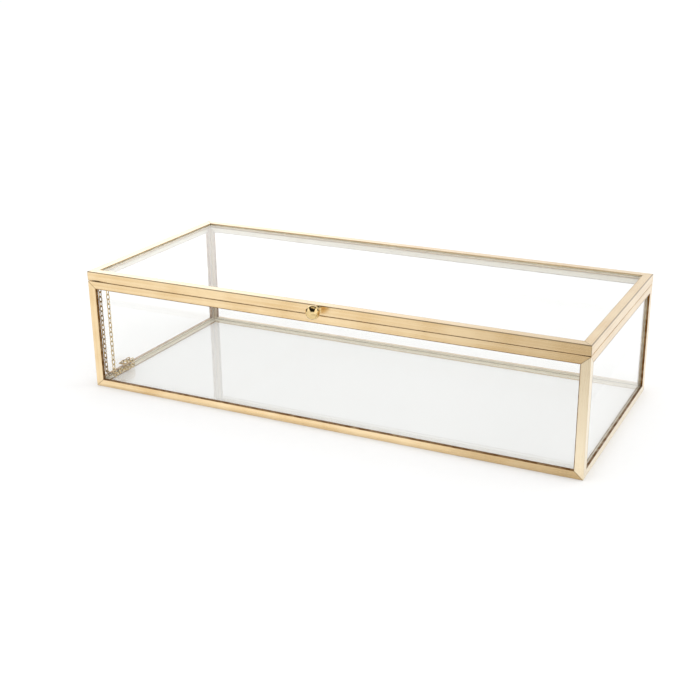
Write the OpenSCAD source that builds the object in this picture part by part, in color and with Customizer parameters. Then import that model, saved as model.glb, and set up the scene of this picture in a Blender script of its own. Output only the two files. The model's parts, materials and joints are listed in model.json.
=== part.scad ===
// Glass casket box for papers and keepsakes: clear panes in a frame of thin brass angle, a
// hinged glass lid with a ball knob, and a fine chain that holds the lid when it is open.
// +X is to the right, +Y to the back and +Z up. The origin is under the middle of the closed
// box, knob and hinges included, on the surface that it stands on. The chain lies in the case.

/* [Box] */
// Length of the case, left to right
case_l = 230; // [160:1:320]
// Depth of the case, front to back
case_d = 100; // [70:1:160]
// Height of the closed box, lid included
box_h = 55; // [45:1:90]
// Gap between the case and the closed lid
seam = 0.2; // [0.1:0.05:0.5]

/* [Glass] */
// Thickness of the panes of the case
pane_t = 2; // [1.5:0.1:3]
// Thickness of the lid's pane
lid_pane_t = 3.2; // [2:0.1:5]

/* [Brass strips] */
// Thickness of the sheet that the strips are folded from
strip_t = 0.5; // [0.3:0.05:0.8]
// Width of each leg of the corner posts
post_w = 4; // [3:0.1:6]
// Height of the top and bottom rails on the sides of the case
rail_h = 3.5; // [3:0.1:5]
// Width of the bottom rails' legs under the floor
foot_w = 4; // [3:0.1:6]
// Width of the lid rails' legs over and under the lid's pane
lid_leg_w = 4; // [3:0.1:6]

/* [Hinges] */
// Length of each hinge
hinge_l = 7.5; // [6:0.5:16]
// Distance from each end of the case to the outer end of its hinge
hinge_inset = 4; // [2:0.5:12]
// Outer diameter of the knuckles
knuckle_d = 2.2; // [1.8:0.1:3]
// Diameter of the hinge pins
pin_d = 1; // [0.7:0.05:1.2]
// Radial clearance of a pin in the lid's knuckle
pin_run = 0.05; // [0.03:0.01:0.1]
// Length of each hinge leaf, down or up from the seam
leaf_h = 3; // [2:0.1:3.4]
// Thickness of the hinge leaves
leaf_t = 0.4; // [0.3:0.05:0.6]

/* [Knob] */
// Diameter of the ball
knob_d = 6; // [4:0.1:10]
// Distance from the lid's front face to the middle of the ball
knob_reach = 4.3; // [3.8:0.1:6]
// Distance of the knob to the right of the lid's middle
knob_shift = 1.5; // [-20:0.5:20]
// Diameter of the stem inside the ball
stem_d = 1.6; // [1.2:0.1:2]
// Diameter of the stem's flange on the rail
flange_d = 4; // [3.4:0.1:4.2]
// Thickness of that flange
flange_t = 0.7; // [0.4:0.1:1]

/* [Chain] */
// Diameter of the chain's wire
wire_d = 0.45; // [0.4:0.01:0.5]
// Outer length of a link
link_l = 3.2; // [3:0.05:3.4]
// Outer width of a link
link_w = 1.8; // [1.75:0.01:1.9]
// Gap between the wires of two links where they meet
link_gap = 0.04; // [0.02:0.01:0.06]
// Gap between the case's half of the chain and the left pane
chain_side_gap = 0.05; // [0.04:0.01:0.5]
// Distance across the box from the case's half of the chain to the lid's half
chain_pair_gap = 2.2; // [2.15:0.01:2.3]
// Distance from the front pane to the middle of the case's half of the chain
chain_front_gap = 1.4; // [1.2:0.1:3]

/* [Hidden] */

$fn = 64;
BRASS = "#d8b878";
PALE_BRASS = "#e6d2a6";
CLEAR = [0.86, 0.94, 0.92, 0.35];
CUT = 1; // how far a cutting shape runs past what it cuts

// Levels, from the table up
floor_top = strip_t + pane_t;
lid_h = lid_pane_t + 2 * strip_t;
lid_bottom = box_h - lid_h;
case_top = lid_bottom - seam;

// Inner faces of the side panes, as distances from the middle
pane_x = case_l / 2 - strip_t;
pane_y = case_d / 2 - strip_t;
inner_x = pane_x - pane_t;
inner_y = pane_y - pane_t;
ledge_w = strip_t + pane_t; // the top rails' upper legs end flush with the panes

// Hinge axis
hinge_gap = 0.1;   // between a knuckle and the rail of the part that it turns against
knuckle_gap = 0.1; // between two knuckles, end to end
pin_end = 0.25;    // how far a pin stands out at each end
pin_grip = 0.02;   // radial gap of a pin in the case's knuckles, where solder holds it
hinge_y = case_d / 2 + hinge_gap + knuckle_d / 2;
hinge_z = case_top + seam / 2;
hinge_x = case_l / 2 - hinge_inset - hinge_l / 2;
knuckle_l = (hinge_l - 2 * knuckle_gap) / 3;

// Knob
knob_z = lid_bottom + lid_h / 2 + 0.3;
neck_d = 3.2;
neck_y = knob_reach - sqrt(pow(knob_d / 2, 2) - pow(neck_d / 2, 2));
stem_depth = 2.6; // how far the stem goes into the ball past the neck
stem_gap = 0.02;  // radial gap of the stem in the ball

// The case stands further back than the origin by half of what the knob sticks out more than
// the hinges do
case_back = (knob_reach + knob_d / 2 - hinge_gap - knuckle_d) / 2;

// Eyes of the chain
tail_w = 0.5;    // width of an eye's soldered tail
tail_gap = 0.08; // between the case eye's tail and the first link beside it

// One link of the chain. Counted from an eye, even links lie flat against the side of the box
// and odd ones across it. Two links turn about the middle of the flat one's end arc, so the gap
// between their wires stays the same. These points are the chain's pivots.
bend_r = (link_w - wire_d) / 2;
arc_off = (link_l - link_w) / 2;
wire_off = (link_l - wire_d) / 2;
hook = link_w / 2 - 1.5 * wire_d - link_gap;
pitch = arc_off + hook + wire_off;

// The chain hangs from an eye on the case and one on the lid, and its slack is folded up on
// the floor. The halves are lists of runs: how many links, and how far they lean from hanging
// straight down towards the back of the box, in degrees.
folds_of_case = [[1, 38], [1, 81], [2, 87], [4, 88], [1, 180], [2, 268], [1, 268]];
folds_of_lid = [[1, 57], [2, 100], [4, 86], [1, 187], [2, 269], [1, 269]];
sideways = 8;     // how far the last link of each half leans towards the other half
floor_gap = 0.02; // least height of the chain over the floor

case_chain_x = -inner_x + chain_side_gap + link_w / 2;
lid_chain_x = case_chain_x + chain_pair_gap;
case_eye_pivot = [
    case_chain_x,
    -inner_y + chain_front_gap,
    case_top - 0.1 - link_w / 2 - bend_r - hook
];

function lean(t) = [0, sin(t), -cos(t)];
function is_flat(i) = i % 2 == 0;
// Distance between the two pivots of link i
function span(i) = 2 * (is_flat(i) ? arc_off : pitch - arc_off);
function leans(runs) = [for (r = runs) for (k = [1:r[0]]) r[1]];
function pivots(t, p, i = 0) =
    i == len(t) ? [p] : concat([p], pivots(t, p + span(i) * lean(t[i]), i + 1));
function links_before(runs, r) = r == 0 ? 0 : runs[r - 1][0] + links_before(runs, r - 1);

// Lowest point of a half of the chain that hangs from pivot p
function low_point(runs, p) =
    let (t = leans(runs), v = pivots(t, p))
    min([for (i = [0:len(t) - 1]) (v[i][2] + v[i + 1][2]) / 2 - abs(cos(t[i])) * arc_off
        - (is_flat(i) ? link_w / 2 : wire_d / 2 + bend_r * abs(cos(t[i])))]);
// Middle of the wire at a half's free end, seen from the side of the box
function free_end(runs, p) =
    let (t = leans(runs), v = pivots(t, p), last = len(t) - 1)
    v[last] + lean(t[last]) * (2 * arc_off - pitch + (pitch - arc_off + wire_off) * cos(sideways));

// The straight strands have as many links as fit over the folded ones
function case_half(n) = concat([[n, 0]], folds_of_case);
strand_links = max([for (n = [1:2:61])
    if (n == 1 || low_point(case_half(n), case_eye_pivot) > floor_top + floor_gap) n]);
case_runs = case_half(strand_links);
lid_runs = concat([[strand_links + 1, 0]], folds_of_lid);

// The lid's eye hangs where the two halves' free ends meet
halves_apart = free_end(case_runs, case_eye_pivot) - free_end(lid_runs, [0, 0, 0]);
lid_eye_pivot = [lid_chain_x, halves_apart[1], halves_apart[2]];

// --- Placing what lies along an edge of the box -------------------------------------------
// Along each edge, X runs with the edge and Y and Z run inwards from it.
module front_edge(z = 0) translate([-case_l / 2, -case_d / 2, z]) children();
module rear_edge(z = 0) mirror([0, 1, 0]) front_edge(z) children();
module left_edge(z = 0) front_edge(z) mirror([1, -1, 0]) children();
module right_edge(z = 0) mirror([1, 0, 0]) left_edge(z) children();
module upright_edge() front_edge() mirror([1, 0, -1]) children();
module from_top() mirror([0, 0, 1]) children();

// What is kept of a strip along X once both of its ends are mitred back by cut over a leg
module mitred(length, leg, cut, height) {
    rise = leg + CUT;
    back = cut * rise / leg;
    linear_extrude(height)
        polygon([[0, 0], [length, 0], [length - back, rise], [back, rise]]);
}

// Brass angle: one leg lies along Y, the other stands along Z
module angle_strip(length, y_leg, z_leg, y_cut, z_cut) {
    intersection() {
        rotate([90, 0, 90]) linear_extrude(length) polygon([
            [0, 0], [y_leg, 0], [y_leg, strip_t], [strip_t, strip_t], [strip_t, z_leg], [0, z_leg]
        ]);
        translate([0, 0, -CUT]) mitred(length, y_leg, y_cut, z_leg + 2 * CUT);
        translate([0, y_leg + CUT, 0]) rotate([90, 0, 0])
            mitred(length, z_leg, z_cut, y_leg + 2 * CUT);
    }
}

// --- Panes --------------------------------------------------------------------------------
module pane(x, y, z, low) {
    color(CLEAR) translate([-x / 2, -y / 2, low]) cube([x, y, z]);
}
wall_h = case_top - strip_t - floor_top;
module floor_glass() pane(2 * pane_x, 2 * pane_y, pane_t, strip_t);
module front_glass() translate([0, -inner_y - pane_t / 2, 0]) pane(2 * pane_x, pane_t, wall_h, floor_top);
module rear_glass() mirror([0, 1, 0]) front_glass();
module left_glass() translate([-inner_x - pane_t / 2, 0, 0]) pane(pane_t, 2 * inner_y, wall_h, floor_top);
module right_glass() mirror([1, 0, 0]) left_glass();
module lid_glass() pane(2 * pane_x, 2 * pane_y, lid_pane_t, lid_bottom + strip_t);

// --- Frame of the case --------------------------------------------------------------------
module bottom_rail(length) color(BRASS) angle_strip(length, foot_w, rail_h, foot_w, post_w);
module top_rail(length) color(BRASS) from_top() angle_strip(length, ledge_w, rail_h, ledge_w, post_w);
module post() color(BRASS) upright_edge() angle_strip(case_top, post_w, post_w, rail_h, rail_h);

module front_bottom_rail() front_edge() bottom_rail(case_l);
module rear_bottom_rail() rear_edge() bottom_rail(case_l);
module left_bottom_rail() left_edge() bottom_rail(case_d);
module right_bottom_rail() right_edge() bottom_rail(case_d);

module front_top_rail() front_edge(case_top) top_rail(case_l);
module rear_top_rail() rear_edge(case_top) top_rail(case_l);
module left_top_rail() left_edge(case_top) top_rail(case_d);
module right_top_rail() right_edge(case_top) top_rail(case_d);

module front_left_post() post();
module front_right_post() mirror([1, 0, 0]) post();
module rear_left_post() mirror([0, 1, 0]) post();
module rear_right_post() mirror([1, 0, 0]) mirror([0, 1, 0]) post();

// --- Frame of the lid: brass channel round the pane's edges -------------------------------
module lid_rail(length) {
    color(BRASS) intersection() {
        rotate([90, 0, 90]) linear_extrude(length) polygon([
            [0, 0], [lid_leg_w, 0], [lid_leg_w, strip_t], [strip_t, strip_t],
            [strip_t, lid_h - strip_t], [lid_leg_w, lid_h - strip_t], [lid_leg_w, lid_h], [0, lid_h]
        ]);
        translate([0, 0, -CUT]) mitred(length, lid_leg_w, lid_leg_w, lid_h + 2 * CUT);
    }
}
module lid_front_rail() front_edge(lid_bottom) lid_rail(case_l);
module lid_rear_rail() rear_edge(lid_bottom) lid_rail(case_l);
module lid_left_rail() left_edge(lid_bottom) lid_rail(case_d);
module lid_right_rail() right_edge(lid_bottom) lid_rail(case_d);

// --- Hinges: a leaf on the case with two knuckles, one on the lid with one, and a pin ------
module along_hinge(x, length) translate([x, hinge_y, hinge_z]) rotate([0, 90, 0])
    translate([0, 0, -length / 2]) children();

// A leaf lies on the back of the rails, beyond the knuckles, and a tab joins it to each
// knuckle at the places given. up is 1 on the lid and -1 on the case.
module hinge_leaf(x, up, places, bore_r) {
    clear = knuckle_d / 2 + hinge_gap;
    color(BRASS) difference() {
        union() {
            for (at = places) {
                along_hinge(x + at, knuckle_l) cylinder(d = knuckle_d, h = knuckle_l);
                slab(x + at, knuckle_l, up, seam / 2, clear);
            }
            slab(x, hinge_l, up, clear, leaf_h + seam / 2);
        }
        along_hinge(x, hinge_l + 2 * CUT) cylinder(r = bore_r, h = hinge_l + 2 * CUT);
    }
}
// Flat sheet on the back of the rails, from one distance off the hinge's axis to another
module slab(x, length, up, from, to) {
    translate([x - length / 2, case_d / 2, hinge_z + (up > 0 ? from : -to)])
        cube([length, leaf_t, to - from]);
}
outer_places = [-(knuckle_l + knuckle_gap), knuckle_l + knuckle_gap];
module case_leaf(x) hinge_leaf(x, -1, outer_places, pin_d / 2 + pin_grip);
module lid_leaf(x) hinge_leaf(x, 1, [0], pin_d / 2 + pin_run);
module hinge_pin(x) {
    length = hinge_l + 2 * pin_end;
    color(BRASS) along_hinge(x, length) cylinder(d = pin_d, h = length);
}

// --- Knob ---------------------------------------------------------------------------------
// A turned stem, its flange soldered to the rail, with the ball pushed onto its end
module on_knob_axis() translate([knob_shift, -case_d / 2, knob_z]) rotate([90, 0, 0]) children();
module knob_stem() {
    color(BRASS) on_knob_axis() rotate_extrude() polygon([
        [0, 0], [flange_d / 2, 0], [flange_d / 2, flange_t], [neck_d / 2, flange_t + 0.3],
        [neck_d / 2, neck_y], [stem_d / 2, neck_y], [stem_d / 2, neck_y + stem_depth],
        [0, neck_y + stem_depth]
    ]);
}
module knob_ball() {
    color(BRASS) on_knob_axis() difference() {
        translate([0, 0, knob_reach]) sphere(d = knob_d);
        translate([0, 0, neck_y - knob_d]) cylinder(d = knob_d, h = knob_d);
        translate([0, 0, neck_y - CUT]) cylinder(r = stem_d / 2 + stem_gap, h = CUT + stem_depth + stem_gap);
    }
}

// --- Chain --------------------------------------------------------------------------------
// One oval link of round wire, flat in the XY plane with its length along X
module link() {
    for (side = [-1, 1]) {
        translate([side * arc_off, 0, 0]) rotate([0, 0, -90 * side])
            rotate_extrude(angle = 180) translate([bend_r, 0]) circle(d = wire_d);
        translate([-arc_off, side * bend_r, 0]) rotate([0, 90, 0])
            cylinder(d = wire_d, h = 2 * arc_off);
    }
}
// Link i of a half, hung from pivot p with a lean of t. turn swings a flat link sideways about
// the end arc of the link before it.
module hung_link(i, p, t, turn = 0) {
    back = pitch - 2 * arc_off;
    translate(p) rotate([t, 0, 0]) translate([0, 0, back]) rotate([0, turn, 0])
        translate([0, 0, -back - span(i) / 2]) rotate([0, 90, 0])
            rotate([is_flat(i) ? 0 : 90, 0, 0]) link();
}
// Run r of a half that hangs from pivot p
module chain_run(runs, p, r, turn) {
    t = leans(runs);
    v = pivots(t, p);
    from = links_before(runs, r);
    color(PALE_BRASS) for (i = [from:from + runs[r][0] - 1])
        hung_link(i, v[i], t[i], r == len(runs) - 1 ? turn : 0);
}
module case_chain_run(r) chain_run(case_runs, case_eye_pivot, r, -sideways);
module lid_chain_run(r) chain_run(lid_runs, lid_eye_pivot, r, sideways);

// The link between the halves lies across the box, in the last link of each
module chain_middle_link() {
    t = leans(lid_runs);
    last = len(t) - 1;
    p = pivots(t, lid_eye_pivot)[last];
    color(PALE_BRASS) translate(p) rotate([t[last], 0, 0])
        translate([0, 0, pitch - 2 * arc_off]) rotate([0, sideways, 0])
            translate([0, 0, -2 * (pitch - arc_off)]) rotate([0, 90 - sideways, 0])
                translate([0, 0, -arc_off]) rotate([0, 90, 0]) rotate([90, 0, 0]) link();
}

// An eye is a ring of the same wire across the box, with a tail soldered to a rail's edge
module eye_ring(p) translate(p + [0, 0, hook + bend_r]) rotate([90, 0, 0])
    rotate_extrude() translate([bend_r, 0]) circle(d = wire_d);
module eye_tail(p, from_x, to_x, low, high) translate([from_x, p[1] - tail_w / 2, low])
    cube([to_x - from_x, tail_w, high - low]);
module case_chain_eye() color(BRASS) {
    eye_ring(case_eye_pivot);
    eye_tail(case_eye_pivot, -inner_x, case_chain_x - wire_d / 2 - tail_gap,
        case_top - strip_t, case_top - 0.15);
}
module lid_chain_eye() color(BRASS) {
    eye_ring(lid_eye_pivot);
    eye_tail(lid_eye_pivot, lid_leg_w - case_l / 2, lid_chain_x - wire_d / 2,
        lid_bottom, lid_bottom + 0.3);
}

// --- The model ----------------------------------------------------------------------------
module placed() translate([0, case_back, 0]) children();
placed() floor_glass();
placed() front_glass();
placed() rear_glass();
placed() left_glass();
placed() right_glass();
placed() front_bottom_rail();
placed() rear_bottom_rail();
placed() left_bottom_rail();
placed() right_bottom_rail();
placed() front_left_post();
placed() front_right_post();
placed() rear_left_post();
placed() rear_right_post();
placed() front_top_rail();
placed() rear_top_rail();
placed() left_top_rail();
placed() right_top_rail();
placed() case_leaf(-hinge_x);  // left_hinge_case_leaf
placed() case_leaf(hinge_x);  // right_hinge_case_leaf
placed() hinge_pin(-hinge_x);  // left_hinge_pin
placed() hinge_pin(hinge_x);  // right_hinge_pin
placed() lid_glass();
placed() lid_front_rail();
placed() lid_rear_rail();
placed() lid_left_rail();
placed() lid_right_rail();
placed() lid_leaf(-hinge_x);  // left_hinge_lid_leaf
placed() lid_leaf(hinge_x);  // right_hinge_lid_leaf
placed() knob_stem();
placed() knob_ball();
placed() case_chain_eye();
placed() lid_chain_eye();
placed() chain_middle_link();
for (r = [1:len(case_runs)])
    placed() case_chain_run(r - 1);
for (r = [1:len(lid_runs)])
    placed() lid_chain_run(r - 1);
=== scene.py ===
"""Glass casket box: clear panes in folded brass strips, a hinged lid, a ball knob and a lid chain.

The file is laid out as a Blender add-on and run as a script. Each operator makes one group of
pieces round the fixed frame, in metres, with +X to the right, +Y to the back and +Z up.
"""
import json
import math

import bpy
import numpy as np
from bpy.props import FloatProperty, FloatVectorProperty, IntProperty, PointerProperty
from bpy.types import Operator, Panel, PropertyGroup
from mathutils import Matrix, Vector

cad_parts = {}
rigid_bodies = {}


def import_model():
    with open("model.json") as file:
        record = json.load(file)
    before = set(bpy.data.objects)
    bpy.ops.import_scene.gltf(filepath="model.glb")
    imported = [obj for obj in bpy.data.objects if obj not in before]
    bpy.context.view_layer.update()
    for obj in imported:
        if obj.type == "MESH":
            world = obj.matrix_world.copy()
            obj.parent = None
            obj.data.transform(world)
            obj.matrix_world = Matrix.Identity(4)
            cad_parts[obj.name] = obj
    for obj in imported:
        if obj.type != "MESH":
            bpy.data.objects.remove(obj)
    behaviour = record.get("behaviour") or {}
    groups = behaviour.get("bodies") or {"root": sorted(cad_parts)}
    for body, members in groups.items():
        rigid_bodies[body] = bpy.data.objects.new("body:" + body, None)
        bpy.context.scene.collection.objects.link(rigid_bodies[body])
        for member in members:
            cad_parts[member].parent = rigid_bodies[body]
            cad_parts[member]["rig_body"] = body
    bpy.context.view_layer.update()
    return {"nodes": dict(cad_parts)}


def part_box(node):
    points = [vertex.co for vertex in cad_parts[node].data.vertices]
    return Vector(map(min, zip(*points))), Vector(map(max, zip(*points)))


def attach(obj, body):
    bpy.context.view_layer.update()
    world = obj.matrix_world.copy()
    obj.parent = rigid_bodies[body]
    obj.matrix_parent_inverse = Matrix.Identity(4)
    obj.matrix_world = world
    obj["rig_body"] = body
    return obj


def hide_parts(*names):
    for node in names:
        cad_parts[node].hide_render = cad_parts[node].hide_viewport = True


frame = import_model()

bl_info = {
    "name": "Glass Casket Box",
    "version": (1, 0, 0),
    "blender": (4, 5, 0),
    "location": "3D View > Sidebar > Casket",
    "description": "Makes a brass and glass casket box with a hinged lid, a knob and a chain",
    "category": "Add Mesh",
}

MM = 0.001


def corners(node):
    """Lowest and highest corner of a fixed node, as arrays in metres."""
    low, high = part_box(node)
    return np.array(low), np.array(high)


# Sizes that the frame gives
CASE_LOW, CASE_HIGH = corners("front_bottom_rail")[0], corners("rear_top_rail")[1]
LID_LOW, LID_HIGH = corners("lid_front_rail")[0], corners("lid_rear_rail")[1]
CASE_L, CASE_D = CASE_HIGH[0] - CASE_LOW[0], CASE_HIGH[1] - CASE_LOW[1]
CASE_H = CASE_HIGH[2]
LID_H = LID_HIGH[2] - LID_LOW[2]
CASE_MID_Y = (CASE_HIGH[1] + CASE_LOW[1]) / 2


# --- Settings -----------------------------------------------------------------------------------
def length(about, millimetres, least=0.0):
    """A length that the user can change, in metres."""
    return FloatProperty(description=about, default=millimetres * MM, unit="LENGTH", precision=5, min=least)


def tilt(about, degrees):
    """An angle that the user can change, in radians."""
    return FloatProperty(description=about, default=math.radians(degrees), subtype="ANGLE")


def colour(about, value):
    """A colour that the user can change, linear."""
    return FloatVectorProperty(description=about, default=value, size=3, subtype="COLOR", min=0.0, max=1.0)


def share(about, value, top=1.0):
    """A number from nought to top that the user can change."""
    return FloatProperty(description=about, default=value, min=0.0, max=top)


class CasketStrips(PropertyGroup):
    thickness: length("Thickness of the folded brass sheet", 0.5)
    fold_radius: length("Outer radius of the folds", 0.3)
    edge_ease: length("Rounding of the cut edges", 0.08)
    foot_leg: length("Width of the bottom rails' legs under the floor", 4)
    rail_leg: length("Height of the rails on the sides of the case", 3.5)
    ledge_leg: length("Width of the top rails' upper legs", 2.5)
    post_leg: length("Width of each leg of the corner posts", 4)
    lid_leg: length("Width of the lid rails' legs", 4)
    hem: length("How far the hems on the case turn in to the panes", 1.0)
    wave: length("How far the hand-folded faces wander inwards", 0.035)


class CasketPanes(PropertyGroup):
    clearance: length("Gap round each pane", 0.02)
    arris: length("Width of the ground edges", 0.25)
    corner: length("Rounding of the panes' corners", 0.4)


class CasketChain(PropertyGroup):
    wire: length("Diameter of the chain's wire", 0.45)
    link_length: length("Outer length of a link", 3.2)
    link_width: length("Outer width of a link", 1.8)
    gap: length("Gap between the wires of two links", 0.04)
    wire_sides: IntProperty(description="Sides of the wire", default=12, min=6, max=24)
    sideways: tilt("Lean of each half's last link", 8)


class CasketFinish(PropertyGroup):
    brass_dark: colour("Deeper tone of the plated brass", (0.77, 0.545, 0.275))
    brass_light: colour("Paler tone of the plated brass", (0.91, 0.71, 0.43))
    # Brown of the cut edges: partly tarnish, partly painted shade along the strips' edges
    patina: colour("Brown of the cut edges", (0.17, 0.068, 0.008))
    # Pale tone painted on the inner faces as light, where they lie in shade
    lining: colour("Tone of the strips' inner faces", (1.0, 0.94, 0.78))
    knob_dark: colour("Deeper tone of the knob", (0.60, 0.42, 0.17))
    knob_light: colour("Paler tone of the knob", (0.86, 0.66, 0.34))
    chain_light: colour("Tone of the lid's half of the chain", (0.88, 0.66, 0.30))
    chain_dark: colour("Tone of the case's half of the chain", (0.68, 0.46, 0.19))
    glass: colour("Tint of the panes", (0.985, 0.987, 0.984))
    glass_edge: colour("Colour that light takes on along a pane", (0.62, 0.90, 0.80))
    brass_roughness: share("Roughness of the strips", 0.27)


class CasketStudio(PropertyGroup):
    camera_turn: tilt("Camera's turn to the right", 26.444)
    camera_rise: tilt("Camera's height as an angle", 20.483)
    camera_roll: tilt("Camera's roll", -0.589)
    camera_distance: length("Camera's distance from the box", 527.869)
    slide_right: length("Camera's slide to the right", -7.769, -1.0)
    slide_up: length("Camera's slide upwards", -8.522, -1.0)
    lens: FloatProperty(description="Focal length in millimetres", default=60.24)
    floor_tone: colour("Colour of the floor", (0.86, 0.86, 0.86))
    sky: share("Strength of the light from all round", 1.05, 2.0)


# --- Surfaces -----------------------------------------------------------------------------------
class Surface:
    """Closed surface: points, faces and, for each face's corners, its place in the pattern."""

    def __init__(self, points, faces, places, marks=None):
        self.points, self.faces, self.places, self.marks = points, faces, places, marks or {}
        if self.volume() < 0:
            self.faces = [f[::-1] for f in self.faces]
            self.places = [p[::-1] for p in self.places]

    def volume(self):
        """Sum over the faces' triangles of the first corner times the cross of the others, by six."""
        first = np.concatenate([np.repeat(f[:1], len(f) - 2) for f in self.faces])
        second = np.concatenate([f[1:-1] for f in self.faces])
        third = np.concatenate([f[2:] for f in self.faces])
        a, b, c = self.points[first], self.points[second], self.points[third]
        return np.einsum("ij,ij->i", a, np.cross(b, c)).sum() / 6

    def moved(self, place):
        """The same surface with its points carried through place, a function of an array."""
        return Surface(place(self.points), self.faces, self.places, self.marks)


def joined(surfaces):
    """Several closed surfaces as one."""
    start = np.cumsum([0] + [len(s.points) for s in surfaces])
    names = sorted({n for s in surfaces for n in s.marks})
    return Surface(np.concatenate([s.points for s in surfaces]),
                   [f + at for s, at in zip(surfaces, start) for f in s.faces],
                   [p for s in surfaces for p in s.places],
                   {n: np.concatenate([s.marks.get(n, np.zeros(len(s.points))) for s in surfaces])
                    for n in names})


def grid_faces(rows, columns, closed=False):
    """Four-sided faces of a grid, as places in the grid and as steps along both ways.

    The last column joins up with the first one, and so does the last row where the grid is closed.
    """
    i, j = np.meshgrid(np.arange(rows if closed else rows - 1), np.arange(columns), indexing="ij")
    row = np.stack([i, i + 1, i + 1, i], -1).reshape(-1, 4)
    column = np.stack([j, j, j + 1, j + 1], -1).reshape(-1, 4)
    return (row % rows) * columns + column % columns, row, column


def carried(rings, along, around, marks=None, closed=False):
    """A closed profile carried along a path: rings is steps by profile points by 3.

    A closed path joins up with its start, an open one has flat ends. along is each step's distance
    and around each profile point's; where a way is closed, its last number repeats the first place.
    """
    steps, count = rings.shape[:2]
    quads, row, column = grid_faces(steps, count, closed)
    faces, places = list(quads), list(np.stack([along[row], around[column]], -1))
    if not closed:
        faces += [np.arange(count), ((steps - 1) * count + np.arange(count))[::-1]]
        places += [rings[0][:, :2], rings[-1][::-1, :2]]
    return Surface(rings.reshape(-1, 3), faces, places, marks)


def loop_lengths(loop):
    """Distance round a closed loop at each point, with the whole length last."""
    gaps = np.linalg.norm(np.diff(np.vstack([loop, loop[:1]]), axis=0), axis=1)
    return np.concatenate([[0], np.cumsum(gaps)])


def eased(polygon, radii, steps=4):
    """Each corner becomes an arc: (1-t)^2 of the point before, 2t(1-t) of the corner, t^2 of the next."""
    polygon, radii = np.asarray(polygon, float), np.asarray(radii, float)[:, None]
    before, after = np.roll(polygon, 1, 0) - polygon, np.roll(polygon, -1, 0) - polygon
    start = polygon + radii * before / np.linalg.norm(before, axis=1, keepdims=True)
    end = polygon + radii * after / np.linalg.norm(after, axis=1, keepdims=True)
    t = np.linspace(0, 1, steps + 1)[None, :, None]
    arcs = (1 - t) ** 2 * start[:, None] + 2 * t * (1 - t) * polygon[:, None] + t ** 2 * end[:, None]
    return arcs.reshape(-1, 2)


def refined(loop, margin, longest):
    """More points on a loop's long sides: two near each end, by the margin, and more in between."""
    at = loop_lengths(loop)
    gaps = np.diff(at)
    long = gaps > 3 * margin
    starts, stops = at[:-1][long], at[1:][long]
    near = np.concatenate([starts + margin, stops - margin, starts + 1.6 * margin, stops - 1.6 * margin])
    pieces = np.maximum(1, np.ceil((gaps - 2 * margin) / longest).astype(int))
    between = [np.linspace(a + margin, b - margin, n + 1)[1:-1]
               for a, b, n in zip(starts, stops, pieces[long])]
    every = np.unique(np.round(np.concatenate([at[:-1], near, *between]), 9))
    closed = np.vstack([loop, loop[:1]])
    return np.stack([np.interp(every, at, closed[:, k]) for k in (0, 1)], -1)


def loop_normals(loop):
    """Outward direction at each point of a loop: its chord turned a quarter, away from the inside."""
    chord = np.roll(loop, -1, 0) - np.roll(loop, 1, 0)
    turned_chord = np.stack([chord[:, 1], -chord[:, 0]], -1)
    area = np.sum(loop[:, 0] * np.roll(loop[:, 1], -1) - loop[:, 1] * np.roll(loop[:, 0], -1))
    return np.sign(area) * turned_chord / np.linalg.norm(turned_chord, axis=1, keepdims=True)


def eased_block(low, high, ease, corner, steps=3):
    """A block with rounded edges: rings of a rounded rectangle, drawn in by ease at both ends.

    At angle a from the top the ring lies ease(1-cos a) under it and ease(1-sin a) inside the side.
    """
    low, high = np.asarray(low, float), np.asarray(high, float)
    turn = np.linspace(0, math.pi / 2, steps + 1)
    inset = ease * (1 - np.sin(turn))
    drop = ease * (1 - np.cos(turn))
    height = np.concatenate([low[2] + drop, high[2] - drop[::-1]])
    inset = np.concatenate([inset, inset[::-1]])[:, None]
    quarter = np.arange(4).repeat(steps + 1)
    angle = quarter * math.pi / 2 + np.tile(turn, 4)
    side = np.array([[1, 1], [-1, 1], [-1, -1], [1, -1]])[quarter]
    half, middle = (high - low)[:2] / 2, (high + low)[:2] / 2
    across = side[:, 0] * (half[0] - corner) + np.cos(angle) * (corner - inset)
    back = side[:, 1] * (half[1] - corner) + np.sin(angle) * (corner - inset)
    rings = np.stack([across + middle[0], back + middle[1],
                      np.broadcast_to(height[:, None], across.shape)], -1)
    return carried(rings, height, loop_lengths(rings[steps][:, :2]))


def turned(radius, height, steps):
    """A profile turned about the axis: (r cos a, r sin a, h), with a pole at each end."""
    angle = np.linspace(0, 2 * math.pi, steps, endpoint=False)
    ring = np.stack([np.outer(radius, np.cos(angle)), np.outer(radius, np.sin(angle)),
                     np.outer(height, np.ones(steps))], -1)
    points = np.vstack([ring[1:-1].reshape(-1, 3), ring[0, 0], ring[-1, 0]])
    rows = len(radius) - 2
    quads, row, column = grid_faces(rows, steps)
    profile = np.concatenate([[0], np.cumsum(np.hypot(np.diff(radius), np.diff(height)))])
    places = np.stack([profile[1:][row], column * (2 * math.pi * radius.max() / steps)], -1)
    k = np.arange(steps)
    first = np.stack([np.full(steps, rows * steps), k, (k + 1) % steps], -1)
    last = np.stack([np.full(steps, rows * steps + 1), (rows - 1) * steps + (k + 1) % steps,
                     (rows - 1) * steps + k], -1)
    return Surface(points, list(quads) + list(first) + list(last),
                   list(places) + [np.zeros((3, 2))] * (2 * steps))


def turned_ring(loop, steps):
    """A closed profile of radius and height turned about the axis, as a tube or a ring."""
    angle = np.linspace(0, 2 * math.pi, steps, endpoint=False)[:, None]
    rings = np.stack([loop[:, 0] * np.cos(angle), loop[:, 0] * np.sin(angle),
                      np.broadcast_to(loop[:, 1], (steps, len(loop)))], -1)
    along = np.arange(steps + 1) * (2 * math.pi * loop[:, 0].mean() / steps)
    return carried(rings, along, loop_lengths(loop), closed=True)


def placed(order, signs, start):
    """A function that carries points: the axes in the order, times the signs, plus the start."""
    return lambda points: points[:, order] * signs + start


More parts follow.
